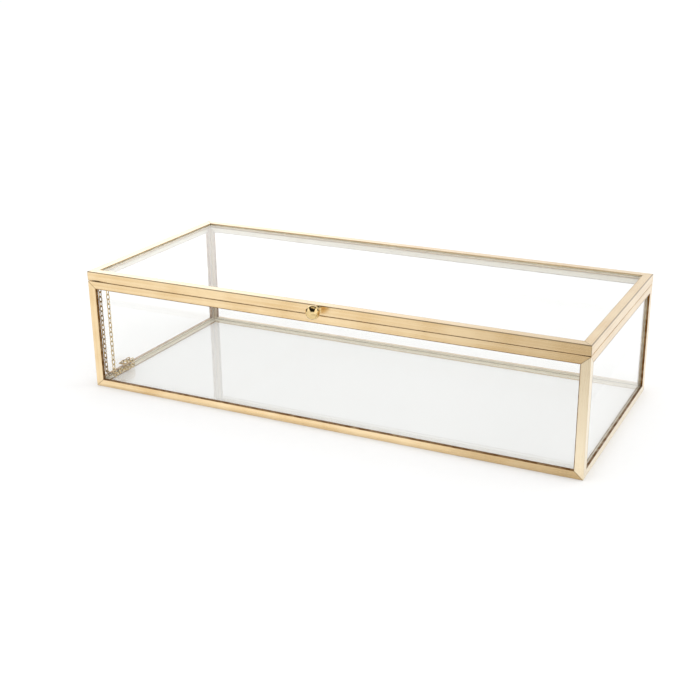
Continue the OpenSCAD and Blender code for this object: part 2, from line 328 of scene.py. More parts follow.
# --- Finishes -----------------------------------------------------------------------------------
def shade(tone, factor):
    """A tone with each of its numbers times the factor."""
    return tuple(factor * c for c in tone)


class Nodes:
    """A node tree under construction, with short calls for the nodes that it needs."""

    def __init__(self, tree):
        self.tree = tree

    def feed(self, socket, value):
        """Gives a socket a number, a colour, a vector or another node's output."""
        if isinstance(value, bpy.types.NodeSocket):
            self.tree.links.new(value, socket)
        else:
            socket.default_value = (*value, 1) if socket.type == "RGBA" else value

    def node(self, kind, settings=(), **sockets):
        """Adds a node with its settings; the sockets' names have _ for a space."""
        made = self.tree.nodes.new(kind)
        for name, value in dict(settings).items():
            setattr(made, name, value)
        for name, value in sockets.items():
            self.feed(made.inputs[name.replace("_", " ")], value)
        return made

    def math(self, operation, a, b):
        made = self.node("ShaderNodeMath", {"operation": operation})
        self.feed(made.inputs[0], a)
        self.feed(made.inputs[1], b)
        return made.outputs["Value"]

    def plus(self, a, b):
        return self.math("ADD", a, b)

    def times(self, a, b):
        return self.math("MULTIPLY", a, b)

    def range(self, value, low, high):
        """The low number where value is nought, the high one where it is one."""
        return self.node("ShaderNodeMapRange", Value=value, To_Min=low, To_Max=high).outputs["Result"]

    def seen(self):
        """One for rays from the camera, from gloss and through glass, nought for the rest."""
        path = self.node("ShaderNodeLightPath").outputs
        total = path["Is Camera Ray"]
        for other in ("Is Glossy Ray", "Is Transmission Ray"):
            total = self.math("MAXIMUM", total, path[other])
        return total


class Finish(Nodes):
    """A material under construction."""

    def __init__(self, name):
        self.material = bpy.data.materials.new(name)
        self.material.use_nodes = True
        super().__init__(self.material.node_tree)
        self.tree.nodes.clear()
        self.output = self.node("ShaderNodeOutputMaterial")
        self.coordinates = self.node("ShaderNodeTexCoord")
        self.spot = self.coordinates.outputs["Object"]

    def surface(self, shader):
        self.feed(self.output.inputs["Surface"], shader)

    def mapped(self, source, scale):
        """Object or UV coordinates, stretched."""
        return self.node("ShaderNodeMapping", Vector=self.coordinates.outputs[source],
                         Scale=scale).outputs["Vector"]

    def noise(self, vector, scale, detail=2.0, roughness=0.5):
        return self.node("ShaderNodeTexNoise", Vector=vector, Scale=scale, Detail=detail,
                         Roughness=roughness).outputs["Fac"]

    def ramp(self, value, stops):
        """Stops are (place, grey or colour)."""
        made = self.node("ShaderNodeValToRGB", Fac=value)
        while len(made.color_ramp.elements) < len(stops):
            made.color_ramp.elements.new(0.5)
        for element, (place, tone) in zip(made.color_ramp.elements, stops):
            element.position = place
            element.color = (*tone, 1) if hasattr(tone, "__len__") else (tone, tone, tone, 1)
        return made.outputs["Color"]

    def mark(self, name):
        """A number that the piece's points carry."""
        return self.node("ShaderNodeAttribute", {"attribute_name": name}).outputs["Fac"]

    def mix(self, amount, a, b):
        """Colour a where the amount is nought and b where it is one."""
        made = self.node("ShaderNodeMix", {"data_type": "RGBA"}, Factor=amount)
        self.feed(made.inputs[6], a)
        self.feed(made.inputs[7], b)
        return made.outputs[2]

    def bump(self, height, distance, strength=1.0, below=None):
        made = self.node("ShaderNodeBump", Height=height, Distance=distance, Strength=strength)
        if below is not None:
            self.feed(made.inputs["Normal"], below)
        return made.outputs["Normal"]

    def shader(self, **sockets):
        """The principled shader, put on the surface."""
        made = self.node("ShaderNodeBsdfPrincipled", **sockets)
        self.surface(made.outputs["BSDF"])
        return made


def brushed_brass(name, look):
    """Plated brass strip: soft patches and streaks of tone and fine brush lines along the strip.

    Over them lie the strips' marks: a painted highlight that makes the strips on the lit right side paler,
    painted shade that deepens the far ends, dull pale inner faces painted as light, brown cut edges that are
    partly tarnish and partly painted shade, painted dark lines along the folds, and dark seams.
    """
    f = Finish(name)
    deep = look.brass_dark
    patches = f.noise(f.spot, 55, 3)
    streak = f.noise(f.mapped("UV", (9, 800, 1)), 1, 2)
    brush = f.noise(f.mapped("UV", (60, 5200, 1)), 1, 3, 0.6)
    fine = f.noise(f.spot, 1400, 2)
    tone = f.ramp(f.plus(f.times(patches, 0.55), f.times(streak, 0.45)),
                  [(0.38, deep), (0.60, look.brass_light)])
    inner = f.mark("inner")
    # Cut edges' brown: partly tarnish, partly painted shade for the dark lines along the edges
    stain = f.ramp(f.noise(f.spot, 420, 3, 0.6), [(0.25, 0.62), (0.6, 1.0)])
    edge_patina_and_shade = f.times(f.mark("cut_edge"), stain)
    for amount, above in (
            # painted highlight: cream over the strips that face the light on the right
            (f.range(brush, 0.0, 0.16), deep), (f.mark("pale"), (0.96, 0.86, 0.66)),
            # painted shade deepening the far ends; pale inner faces as painted light; edge brown, partly
            # painted shade
            (f.mark("deeper"), shade(deep, 0.75)), (inner, look.lining), (edge_patina_and_shade, look.patina),
            # painted dark line along the folds; the seams are dark joints
            (f.times(f.mark("fold"), 0.85), shade(deep, 0.35)),
            (f.times(f.mark("seam"), 0.55), shade(deep, 0.4))):
        tone = f.mix(amount, tone, above)
    rough = f.range(brush, look.brass_roughness - 0.07, look.brass_roughness + 0.09)
    rough = f.plus(f.plus(rough, f.times(edge_patina_and_shade, 0.2)), f.range(patches, -0.04, 0.05))
    relief = f.bump(fine, 0.004 * MM, 0.35, f.bump(brush, 0.006 * MM, 0.4))
    # The inner faces, painted pale as light, lose their metal and their lacquer
    bare = f.math("SUBTRACT", 1.0, inner)
    lacquer = f.times(f.times(f.math("SUBTRACT", 1.0, edge_patina_and_shade), 0.8), bare)
    f.shader(Base_Color=tone, Metallic=bare, Roughness=f.plus(rough, f.times(inner, 0.2)), Normal=relief,
             Coat_Weight=lacquer, Coat_Roughness=0.12, Coat_IOR=1.45)
    return f.material


def turned_brass(name, deep, pale):
    """Polished turned brass: rings left by the lathe, small scratches and soft patches of tone."""
    f = Finish(name)
    rings = f.noise(f.mapped("UV", (9000, 20, 1)), 1, 2)
    patches = f.noise(f.spot, 320, 3)
    scratches = f.ramp(f.noise(f.mapped("Object", (900, 4200, 1500)), 1, 4, 0.7),
                       [(0.58, 0.0), (0.66, 1.0)])
    f.shader(Base_Color=f.ramp(patches, [(0.3, deep), (0.65, pale)]), Metallic=1.0,
             Roughness=f.plus(f.range(patches, 0.06, 0.16), f.times(scratches, 0.12)),
             Normal=f.bump(rings, 0.003 * MM, 0.3, f.bump(scratches, 0.003 * MM, 0.3)))
    return f.material


def wire_brass(name, deep, pale):
    """Fine plated wire: draw lines along it and dull brown patches on the end arcs, where links hang."""
    f = Finish(name)
    patches = f.noise(f.spot, 700, 3, 0.6)
    draw = f.noise(f.mapped("UV", (200, 9000, 1)), 1, 2)
    rub = f.times(f.mark("rub"), f.ramp(patches, [(0.35, 0.35), (0.7, 0.8)]))
    tone = f.mix(rub, f.ramp(patches, [(0.36, deep), (0.60, pale)]), shade(deep, 0.35))
    tone = f.mix(f.mark("seam"), tone, shade(deep, 0.2))
    f.shader(Base_Color=tone, Metallic=1.0, Roughness=f.plus(f.range(draw, 0.16, 0.34), f.times(rub, 0.2)),
             Normal=f.bump(draw, 0.004 * MM, 0.4))
    return f.material


def soldered(name, pale):
    """Soft solder, plated over: lumpy, a little duller than the strips."""
    f = Finish(name)
    lumps = f.noise(f.spot, 900, 3, 0.6)
    f.shader(Base_Color=f.ramp(lumps, [(0.3, shade(pale, 0.55)), (0.65, pale)]), Metallic=1.0,
             Roughness=f.range(lumps, 0.3, 0.5), Normal=f.bump(lumps, 0.02 * MM, 0.6))
    return f.material


def clear_glass(name, tint, depth_tint):
    """Float glass: clear, with a faint ripple, faint wipe marks and a green depth seen at the edges.

    The ground edges are dull and pale, with a cream tint that paints in the brass they reflect, and brown
    where they sit in the frame. Light for shadows and for dull surfaces passes straight through, a little
    dimmed, so that it reaches the inside.
    """
    f = Finish(name)
    wipes = f.ramp(f.noise(f.mapped("Object", (26, 60, 40)), 1, 4, 0.65), [(0.60, 0.0), (0.82, 0.028)])
    pane = f.shader(Base_Color=tint, Metallic=0.0, Roughness=wipes, IOR=1.5, Transmission_Weight=1.0,
                    Normal=f.bump(f.noise(f.spot, 14, 1), 0.05 * MM, 0.15))
    grit = f.noise(f.spot, 2600, 3)
    # Cream tint of the ground edges: pale ground glass plus a painted reflection of the brass
    edge_tone_and_reflection = f.ramp(grit, [(0.3, (0.93, 0.92, 0.86)), (0.7, (0.99, 0.985, 0.95))])
    ground = f.shader(Base_Color=f.mix(f.mark("seat"), edge_tone_and_reflection, (0.36, 0.27, 0.18)), Metallic=0.0,
                      Roughness=0.6, IOR=1.5, Transmission_Weight=0.1, Normal=f.bump(grit, 0.02 * MM, 0.5))
    path = f.node("ShaderNodeLightPath").outputs
    clear = f.node("ShaderNodeBsdfTransparent", Color=(0.968, 0.966, 0.964))
    below = pane.outputs["BSDF"]
    for amount, above in (
            (f.mark("ground"), ground.outputs["BSDF"]),
            (f.math("MAXIMUM", path["Is Shadow Ray"], path["Is Diffuse Ray"]), clear.outputs["BSDF"])):
        made = f.node("ShaderNodeMixShader", Fac=amount)
        f.feed(made.inputs[1], below)
        f.feed(made.inputs[2], above)
        below = made.outputs["Shader"]
    f.surface(below)
    depth = f.node("ShaderNodeVolumeAbsorption", Color=depth_tint, Density=4.0)
    f.feed(f.output.inputs["Volume"], depth.outputs["Volume"])
    return f.material


_made = {}


def finishes():
    """Every finish of the box, made once."""
    if not _made:
        look = bpy.context.scene.casket_finish
        _made["brass"] = brushed_brass("plated_brass", look)
        _made["knob"] = turned_brass("turned_brass", look.knob_dark, look.knob_light)
        _made["solder"] = soldered("plated_solder", look.brass_light)
        _made["lid_chain"] = wire_brass("pale_chain_brass", shade(look.chain_light, 0.7), look.chain_light)
        _made["case_chain"] = wire_brass("deep_chain_brass", shade(look.chain_dark, 0.6), look.chain_dark)
        _made["glass"] = clear_glass("float_glass", look.glass, look.glass_edge)
    return _made


def linked(name, data):
    """A new object in the scene."""
    made = bpy.data.objects.new(name, data)
    bpy.context.scene.collection.objects.link(made)
    return made


def add_piece(name, surface, body, finish, replaced, smooth_to=32.0):
    """Puts a surface into a mesh in the frame, names its body and finish, hides the nodes it replaces.

    Faces that meet at less than smooth_to degrees are shaded as one.
    """
    mesh = bpy.data.meshes.new(name)
    mesh.from_pydata(surface.points.tolist(), [], [f.tolist() for f in surface.faces])
    pattern = mesh.uv_layers.new(name="pattern")
    pattern.data.foreach_set("uv", np.concatenate(surface.places).astype(np.float32).ravel())
    for mark, values in surface.marks.items():
        mesh.attributes.new(mark, "FLOAT", "POINT").data.foreach_set("value", values.astype(np.float32))
    if smooth_to:
        mesh.shade_smooth()
        mesh.set_sharp_from_angle(angle=math.radians(smooth_to))
    mesh.update()
    piece = linked(name, mesh)
    mesh.materials.append(finish)
    if smooth_to:
        piece.modifiers.new("even_faces", "WEIGHTED_NORMAL").keep_sharp = True
    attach(piece, body)
    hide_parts(*replaced)
    return piece


# --- Strips -------------------------------------------------------------------------------------
LONG_SIDES = ("front", "rear")
SIDES = LONG_SIDES + ("left", "right")
# Spacing of points round a profile and of profiles along a strip, and the fewest profiles
PROFILE_MARGIN, PROFILE_STEP = 0.16 * MM, 1.2 * MM
STATION, FEWEST_STATIONS = 5 * MM, 12
# Each end's bevel, and where its seam ends, in the mesh and in the pattern
CHAMFER, SEAM_END, SEAM_PATTERN = 0.09 * MM, 0.35 * MM, 0.4 * MM
# How far the brown of a cut edge (partly tarnish, partly painted shade) and the painted dark line
# along the folds reach, the latter in radii of the folds
EDGE_REACH, FOLD_SHADE_REACH = 0.27 * MM, 1.03
# The slit under the lid by its left end; the right side's hem as a share of the others'
SLIT_PLACE, SLIT_WIDTH, SLIT_RISE = 6 * MM, 4 * MM, 0.35 * MM
RIGHT_HEM = 0.45
# How deep in the profile the outer faces end and the inner ones start, the latter in thicknesses
OUTER_SKIN, INNER_FROM = 0.02 * MM, 0.9
# Periods of the strips' waviness, in metres, and how much it leans round the profile
WAVES, WAVE_LEAN = (0.061, 0.037, 0.023, 0.013, 0.007), 300
# How far single strips differ in tone, as folded_strip takes it: a painted highlight on the strips that
# face the light on the right, painted shade at the front rails' right ends, painted light that pales the
# inner faces, and how brown the cut edges are, partly tarnish and partly painted shade
BOTTOM_TONES = {"front": {"deeper": 0.85}, "rear": {"cut": 0.3}, "left": {"cut": 0.8},
                "right": {"pale": 0.8}}
UPPER_TONES = {"front": {"deeper": 0.25}}
POST_TONES = {"front_left": {"lined": 0.15}, "front_right": {"lined": 0.15, "pale": 0.7},
              "rear_left": {"lined": 0.6}}


def run_of(side):
    """Length of the strips on a side."""
    return CASE_L if side in LONG_SIDES else CASE_D


def along_edge(side, level=0.0, down=False):
    """Carries points from an edge's own frame (X along it, Y and Z inwards) to the box."""
    start = np.array([CASE_LOW[0], CASE_LOW[1], level])
    order, inwards = ([0, 1, 2], 1) if side in LONG_SIDES else ([1, 0, 2], 0)
    signs = np.array([1, 1, -1 if down else 1])
    if side in ("rear", "right"):
        start[inwards], signs[inwards] = CASE_HIGH[inwards], -1
    return placed(order, signs, start)


def along_corner(at_right, at_rear):
    """Carries points from a post's own frame (X up it, Y and Z inwards) to a corner of the case."""
    return placed([2, 1, 0], [-1 if at_right else 1, -1 if at_rear else 1, 1],
                  [(CASE_HIGH if at_right else CASE_LOW)[0], (CASE_HIGH if at_rear else CASE_LOW)[1], 0])


def wander(x, around, seed):
    """Sum of five sines along the strip and round it, from nought to one."""
    draw = np.random.default_rng(seed)
    total = np.zeros((len(x), len(around)))
    for period in WAVES:
        phase, lean = draw.uniform(0, 2 * math.pi), draw.uniform(-WAVE_LEAN, WAVE_LEAN)
        total += period * np.sin(2 * math.pi * x[:, None] / period + lean * around[None] + phase)
    return np.clip(0.5 + total / (4 * WAVES[0]), 0, 1)


def hem_of(side):
    """How far a hem reaches in from the strip: less on the right, where the pane stands further out."""
    look = bpy.context.scene.casket_strips
    return RIGHT_HEM * look.hem if side == "right" else look.hem


def folded_strip(polygon, radii, run, cuts, cut_faces, folds, seed, bowed=0.0, channel=False, lined=1.0,
                 pale=0.0, deeper=0.0):
    """A folded strip: its profile carried along X between two mitres.

    A point at (y, z) of the profile starts at the larger of y times the first cut and z times the
    second, and ends as far before the end. Outer faces wander inwards, and bowed lifts the lower one
    by that much times e to the minus square of the distance from the slit's place over its width.

    cut_faces are the cut edges as (axis, distance, depth of their brown, partly tarnish and partly painted
    shade) and folds are the folds that get a painted dark line, as (y, z, depth). The other marks go from
    nought to one: painted light that pales the inner faces, where a channel has three walls and not two;
    pale, a painted highlight all over; and painted shade, which rises over the last third of the run.
    """
    look = bpy.context.scene.casket_strips
    profile = refined(eased(polygon, radii), PROFILE_MARGIN, PROFILE_STEP)
    normal = loop_normals(profile)
    around = loop_lengths(profile)
    mitre = np.maximum(profile[:, 0] * cuts[0], profile[:, 1] * cuts[1])
    spread = np.linspace(0, 1, max(FEWEST_STATIONS, int(run / STATION)))
    outer = (profile[:, 0] < OUTER_SKIN) | (profile[:, 1] < OUTER_SKIN)
    lump = look.wave * wander(spread * run, around[:-1], seed) * outer
    near_slit = np.exp(-(((spread * run - SLIT_PLACE) / SLIT_WIDTH) ** 2))[:, None]
    lump = lump + bowed * near_slit * (profile[:, 1] < SLIT_RISE)
    lump[0] = lump[-1] = 0
    stations = mitre + CHAMFER + (run - 2 * (mitre + CHAMFER)) * spread[:, None]
    body = np.concatenate([stations[..., None], profile - lump[..., None] * normal], -1)

    def ring(at, points):
        return np.concatenate([at[:, None], points], -1)[None]

    drawn_in = profile - CHAMFER * normal
    rings = np.concatenate([
        ring(mitre, drawn_in), body[:1], ring(mitre + SEAM_END, profile), body[1:-1],
        ring(run - mitre - SEAM_END, profile), body[-1:], ring(run - mitre, drawn_in)])
    ends = np.array([0, CHAMFER, SEAM_PATTERN])
    along = np.concatenate([ends, spread[1:-1] * run, run - ends[::-1]])

    seam = np.zeros(rings.shape[:2])
    seam[:2] = seam[-2:] = 1
    # Brown on the cut edges, partly tarnish and partly painted shade, by each edge's depth
    edge = np.max([depth * (profile[:, axis] > distance - EDGE_REACH)
                   for axis, distance, depth in cut_faces], 0)
    # Painted shade: a dark line along the folds, by each one's depth
    fold = np.max([depth * (np.hypot(profile[:, 0] - y, profile[:, 1] - z) < look.fold_radius * FOLD_SHADE_REACH)
                   for y, z, depth in folds], 0)
    # Painted light: the inner faces turn pale and dull, by each strip's share
    third_wall = profile[:, 1].max() - profile[:, 1] if channel else profile[:, 1]
    inside = lined * (np.minimum(profile.min(1), third_wall) > INNER_FROM * look.thickness) * (1 - edge)
    # Painted shade: the tone deepens over the last third of the run
    far_end_shade = deeper * np.clip(3.2 * along / run - 2.2, 0, 1)
    marks = {"seam": seam, "cut_edge": edge, "fold": fold, "inner": inside, "pale": pale,
             "deeper": far_end_shade[:, None]}
    return carried(rings, along, around,
                   {name: np.broadcast_to(value, seam.shape).ravel() for name, value in marks.items()})


def angle_strip(run, y_leg, z_leg, y_cut, z_cut, seed, y_hem=0.0, z_hem=0.0, cut=1.0, **tone):
    """Brass angle with one leg along Y and one along Z; a hem turns a leg's end inwards to the pane."""
    look = bpy.context.scene.casket_strips
    t = look.thickness
    y_end = [(y_leg, t + y_hem), (y_leg - t, t + y_hem), (y_leg - t, t)] if y_hem else [(y_leg, t)]
    z_end = [(t, z_leg - t), (t + z_hem, z_leg - t), (t + z_hem, z_leg)] if z_hem else [(t, z_leg)]
    polygon = [(0, 0), (y_leg, 0), *y_end, (t, t), *z_end, (0, z_leg)]
    radii = [look.fold_radius] + [look.edge_ease] * (len(polygon) - 1)
    # The outer fold gets a faint painted dark line
    return folded_strip(polygon, radii, run, (y_cut / y_leg, z_cut / z_leg),
                        [(0, y_leg, cut), (1, z_leg, cut)], [(0, 0, 0.1)], seed, **tone)


def channel_strip(run, seed, bowed, **tone):
    """Brass channel of the lid, open towards the pane; bowed lifts its lower fold near one end."""
    look = bpy.context.scene.casket_strips
    t, leg = look.thickness, look.lid_leg
    polygon = [(0, 0), (leg, 0), (leg, t), (t, t),
               (t, LID_H - t), (leg, LID_H - t), (leg, LID_H), (0, LID_H)]
    radii = [look.fold_radius] + [look.edge_ease] * 6 + [look.fold_radius]
    # Painted dark line: full on the lid's top outer fold, faint on its lower one beside the gap
    return folded_strip(polygon, radii, run, (1.0, 0.0), [(0, leg, 0.4)], [(0, 0, 0.1), (0, LID_H, 1.0)],
                        seed, bowed, True, **tone)


class CASKET_OT_case_frame(Operator):
    """Fold the rails and posts of the case"""
    bl_idname = "casket.case_frame"
    bl_label = "Case Frame"

    def execute(self, context):
        look, brass = context.scene.casket_strips, finishes()["brass"]
        foot, rail, ledge, leg = look.foot_leg, look.rail_leg, look.ledge_leg, look.post_leg
        for number, side in enumerate(SIDES):
            low = angle_strip(run_of(side), foot, rail, foot, leg, 10 + number, z_hem=hem_of(side),
                              **BOTTOM_TONES[side])
            top = angle_strip(run_of(side), ledge, rail, ledge, leg, 20 + number,
                              **UPPER_TONES.get(side, {}))
            for name, strip in ((side + "_bottom_rail", low.moved(along_edge(side))),
                                (side + "_top_rail", top.moved(along_edge(side, CASE_H, True)))):
                add_piece(name + "_folded", strip, "case", brass, [name])
        for number, corner in enumerate(("front_left", "front_right", "rear_left", "rear_right")):
            end, side = corner.split("_")
            post = angle_strip(CASE_H, leg, leg, rail, rail, 30 + number, hem_of(side), look.hem,
                               **POST_TONES.get(corner, {}))
            name = corner + "_post"
            add_piece(name + "_folded", post.moved(along_corner(side == "right", end == "rear")), "case",
                      brass, [name])
        return {"FINISHED"}


class CASKET_OT_lid_frame(Operator):
    """Fold the channel rails of the lid"""
    bl_idname = "casket.lid_frame"
    bl_label = "Lid Frame"

    def execute(self, context):
        for number, side in enumerate(SIDES):
            name = "lid_" + side + "_rail"
            bowed = SLIT_RISE if side == "front" else 0.0
            rail = channel_strip(run_of(side), 40 + number, bowed, **UPPER_TONES.get(side, {}))
            add_piece(name + "_folded", rail.moved(along_edge(side, LID_LOW[2])), "lid",
                      finishes()["brass"], [name])
        return {"FINISHED"}


# --- Panes --------------------------------------------------------------------------------------
# Ground edges lie this far under the faces, and a standing pane's seat is this high
GROUND_DEPTH, SEAT_HEIGHT = 0.01 * MM, 0.5 * MM


class CASKET_OT_panes(Operator):
    """Cut the panes, with their edges ground"""
    bl_idname = "casket.panes"
    bl_label = "Panes"

    def execute(self, context):
        look, glass = context.scene.casket_panes, finishes()["glass"]
        for name, node in sorted(frame["nodes"].items()):
            if not name.endswith("_glass"):
                continue
            low, high = corners(name)
            low, high = low + look.clearance, high - look.clearance
            thin = int(np.argmin(high - low))
            standing = thin < 2
            if standing:
                out = low if (low + high)[thin] / 2 < (0, CASE_MID_Y)[thin] else high
                out[thin] -= math.copysign(hem_of(name.replace("_glass", "")), out[thin])
            pane = eased_block(low, high, look.arris, look.corner, 2)
            depth = np.abs(pane.points[:, thin] - (low + high)[thin] / 2)
            edge = depth < (high - low)[thin] / 2 - GROUND_DEPTH
            if standing:
                edge &= pane.points[:, 2] < low[2] + SEAT_HEIGHT
            pane.marks = {"ground": edge.astype(float), "seat": edge * float(standing)}
            add_piece(name + "_cut", pane, node["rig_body"], glass, [name], smooth_to=0)
        return {"FINISHED"}


# --- Hinges -------------------------------------------------------------------------------------
# The gap is on each side of a knuckle; a pin's head swells and its shaft runs slack by these shares
HINGE_AXIS = sum(corners("left_hinge_pin")) / 2
PIN_RADIUS, KNUCKLE_RADIUS, LEAF_SHEET = 0.5 * MM, 1.1 * MM, 0.4 * MM
KNUCKLE_GAP, KNUCKLE_EASE, LEAF_CORNER = 0.1 * MM, 0.1 * MM, 0.15 * MM
BORE_GAP = {"case": 0.02 * MM, "lid": 0.05 * MM}
PIN_HEAD, PIN_SWELL, PIN_SLACK = 0.24 * MM, 1.12, 0.89
# How thick a head's rim is, and where its step down to the shaft ends
HEAD_RIM, HEAD_STEP = 0.04 * MM, 0.06 * MM
# The tab that joins a knuckle to its leaf: its play at each side, and where it starts and ends
TAB_PLAY, TAB_START, TAB_END = 0.02 * MM, 0.12 * MM, 0.3 * MM


def along_x(middle):
    """Carries points of a shape turned about Z to one about X, with its middle at middle."""
    return placed([2, 0, 1], 1, middle)


def knuckle(middle, run, bore):
    """A tube about the hinge's axis, with rounded rims."""
    half = run / 2
    loop = eased([(bore, -half), (KNUCKLE_RADIUS, -half), (KNUCKLE_RADIUS, half), (bore, half)],
                 [KNUCKLE_EASE] * 4, 3)
    return turned_ring(loop, 40).moved(along_x(middle))


def domed_pin(middle, run, radius):
    """A pin with a peened head at each end.

    At angle a from its rim, a head lies PIN_HEAD sin a further out and has PIN_SWELL cos a times
    the pin's radius.
    """
    t = np.linspace(0, math.pi / 2, 6)[::-1]
    rise = run / 2 - PIN_HEAD
    dome = np.stack([PIN_SWELL * radius * np.cos(t), -rise - PIN_HEAD * np.sin(t)], -1)
    neck = np.array([[PIN_SWELL * radius, -rise + HEAD_RIM], [radius, -rise + HEAD_STEP]])
    half = np.vstack([dome, neck])
    profile = np.vstack([half, half[::-1] * [1, -1]])
    profile[0, 0] = profile[-1, 0] = 0
    return turned(profile[:, 0], profile[:, 1], 32).moved(along_x(middle))


class CASKET_OT_hinges(Operator):
    """Make the hinges: leaves with knuckles, and pins with peened heads"""
    bl_idname = "casket.hinges"
    bl_label = "Hinges"

    def execute(self, context):
        brass, back = finishes()["brass"], CASE_HIGH[1]

        def plate(left, right, *heights):
            return eased_block((left, back, min(heights)), (right, back + LEAF_SHEET, max(heights)),
                               KNUCKLE_EASE, LEAF_CORNER)

        for side in ("left", "right"):
            low, high = corners(side + "_hinge_case_leaf")
            axis = np.array([(low[0] + high[0]) / 2, *HINGE_AXIS[1:]])
            run = (high[0] - low[0] - 2 * KNUCKLE_GAP) / 3
            for body, up, places in (("case", -1, (-run - KNUCKLE_GAP, run + KNUCKLE_GAP)),
                                     ("lid", 1, (0,))):
                node = f"{side}_hinge_{body}_leaf"
                far = corners(node)[up > 0][2]
                near = axis[2] + up * (KNUCKLE_RADIUS + KNUCKLE_GAP)
                pieces = [plate(low[0], high[0], far, near)]
                for at in places:
                    middle = axis + [at, 0, 0]
                    tab = run / 2 - TAB_PLAY
                    pieces.append(knuckle(middle, run, PIN_RADIUS + BORE_GAP[body]))
                    pieces.append(plate(middle[0] - tab, middle[0] + tab, axis[2] + up * TAB_START,
                                        near + up * TAB_END))
                add_piece(node + "_rolled", joined(pieces), body, brass, [node])
            node = side + "_hinge_pin"
            pin_low, pin_high = corners(node)
            add_piece(node + "_peened", domed_pin(axis, pin_high[0] - pin_low[0], PIN_RADIUS * PIN_SLACK),
                      "case", finishes()["knob"], [node])
        return {"FINISHED"}


# --- Knob ---------------------------------------------------------------------------------------
# The ball's opening for the stem: its radius, how far it reaches in and how it narrows there
NECK_RADIUS, NECK_DEPTH, NECK_TAPER = 1.6 * MM, 0.03 * MM, 0.86
# Profile of the stem in millimetres: radius and distance from the lid's face
STEM = ((0, 0), (1.9, 0), (1.96, 0.03), (2.0, 0.1), (2.0, 0.5), (1.96, 0.6), (1.86, 0.68), (1.75, 0.7),
        (1.68, 0.74), (1.62, 0.84), (1.6, 1.0), (1.6, 1.4), (1.6, 1.72), (1.4, 1.76), (0, 1.76))


class CASKET_OT_knob(Operator):
    """Turn the knob: a flanged stem and a ball"""
    bl_idname = "casket.knob"
    bl_label = "Knob"

    def execute(self, context):
        low, high = corners("knob_ball")
        radius = (high[0] - low[0]) / 2
        middle = np.array([(low[0] + high[0]) / 2, low[1] + radius, (low[2] + high[2]) / 2])
        reach = CASE_LOW[1] - middle[1]
        outwards = placed([0, 2, 1], [1, -1, 1], [middle[0], CASE_LOW[1], middle[2]])
        turn = np.linspace(0, math.pi - math.asin(NECK_RADIUS / radius), 40)
        neck_at = reach - math.sqrt(radius ** 2 - NECK_RADIUS ** 2) + NECK_DEPTH
        ball = np.array([np.concatenate([radius * np.sin(turn), [NECK_RADIUS * NECK_TAPER, 0]]),
                         np.concatenate([reach + radius * np.cos(turn), [neck_at, neck_at]])])
        for node, (radii, heights) in (("knob_ball", ball), ("knob_stem", np.array(STEM).T * MM)):
            add_piece(node + "_turned", turned(radii, heights, 64).moved(outwards), "lid",
                      finishes()["knob"], [node])
        return {"FINISHED"}


# --- Chain --------------------------------------------------------------------------------------
# Runs of links from each eye to the middle link: number of links and their lean in degrees
CASE_RUNS = [(19, 0), (1, 38), (1, 81), (2, 87), (4, 88), (1, 180), (2, 268), (1, 268)]
LID_RUNS = [(20, 0), (1, 57), (2, 100), (4, 86), (1, 187), (2, 269), (1, 269)]
# How far a run may lie from its place in the frame, and half the width of an eye's tail
MOST_OFF, TAIL_HALF = 0.2 * MM, 0.25 * MM
# How thin the wire is at a link's seam, how far each link's pattern is shifted, the last link's number
SEAM_THIN, PATTERN_SHIFT, LAST_LINK = 0.8, 0.01, 31


def turn_x(angle):
    """Turn about X."""
    c, s = math.cos(angle), math.sin(angle)
    return np.array([[1, 0, 0], [0, c, -s], [0, s, c]])


def turn_y(angle):
    """Turn about Y."""
    c, s = math.cos(angle), math.sin(angle)
    return np.array([[c, 0, s], [0, 1, 0], [-s, 0, c]])


def link_sizes():
    """Distances that follow from a link's sizes: to its end arcs, bend radius, hook and pitch."""
    look = bpy.context.scene.casket_chain
    arc = (look.link_length - look.link_width) / 2
    bend = (look.link_width - look.wire) / 2
    hook = look.link_width / 2 - 1.5 * look.wire - look.gap
    return arc, bend, hook, arc + hook + (look.link_length - look.wire) / 2


def wire_link(middle, along, across, number):
    """A link of round wire: a circle carried round an oval of two straights and two half circles.

    The wire is thinner and darker at one place, the seam where the link is closed.
    """
    look = bpy.context.scene.casket_chain
    arc, bend = link_sizes()[:2]
    turn = np.linspace(-math.pi / 2, math.pi / 2, 8)
    straight = np.linspace(-0.5, 0.5, 5)[1:-1]
    bow = np.stack([np.cos(turn), np.sin(turn)], -1)
    side = np.tile([0.0, 1.0], (len(straight), 1))
    out = np.concatenate([bow, side, -bow, -side])
    far = [arc, 0]
    upper = np.stack([-2 * arc * straight, np.full(len(straight), bend)], -1)
    path = np.concatenate([far + bend * bow, upper, -(far + bend * bow), -upper])
    angle = np.linspace(0, 2 * math.pi, look.wire_sides, endpoint=False)
    radius = np.full(len(path), look.wire / 2)
    join = len(turn) + 1
    radius[join] *= SEAM_THIN
    flat = path[:, None] + (radius[:, None] * np.cos(angle))[..., None] * out[:, None]
    rise = (radius[:, None] * np.sin(angle))[..., None]
    points = middle + flat[..., :1] * along + flat[..., 1:] * across + rise * np.cross(along, across)
    around = np.arange(look.wire_sides + 1) * (math.pi * look.wire / look.wire_sides)
    rub = np.clip((np.abs(path[:, 0]) - arc) / bend, 0, 1) ** 2
    seam = np.arange(len(path)) == join
    marks = {"rub": np.repeat(rub, look.wire_sides), "seam": np.repeat(seam, look.wire_sides)}
    return carried(points, loop_lengths(path) + number * PATTERN_SHIFT, around, marks, closed=True)


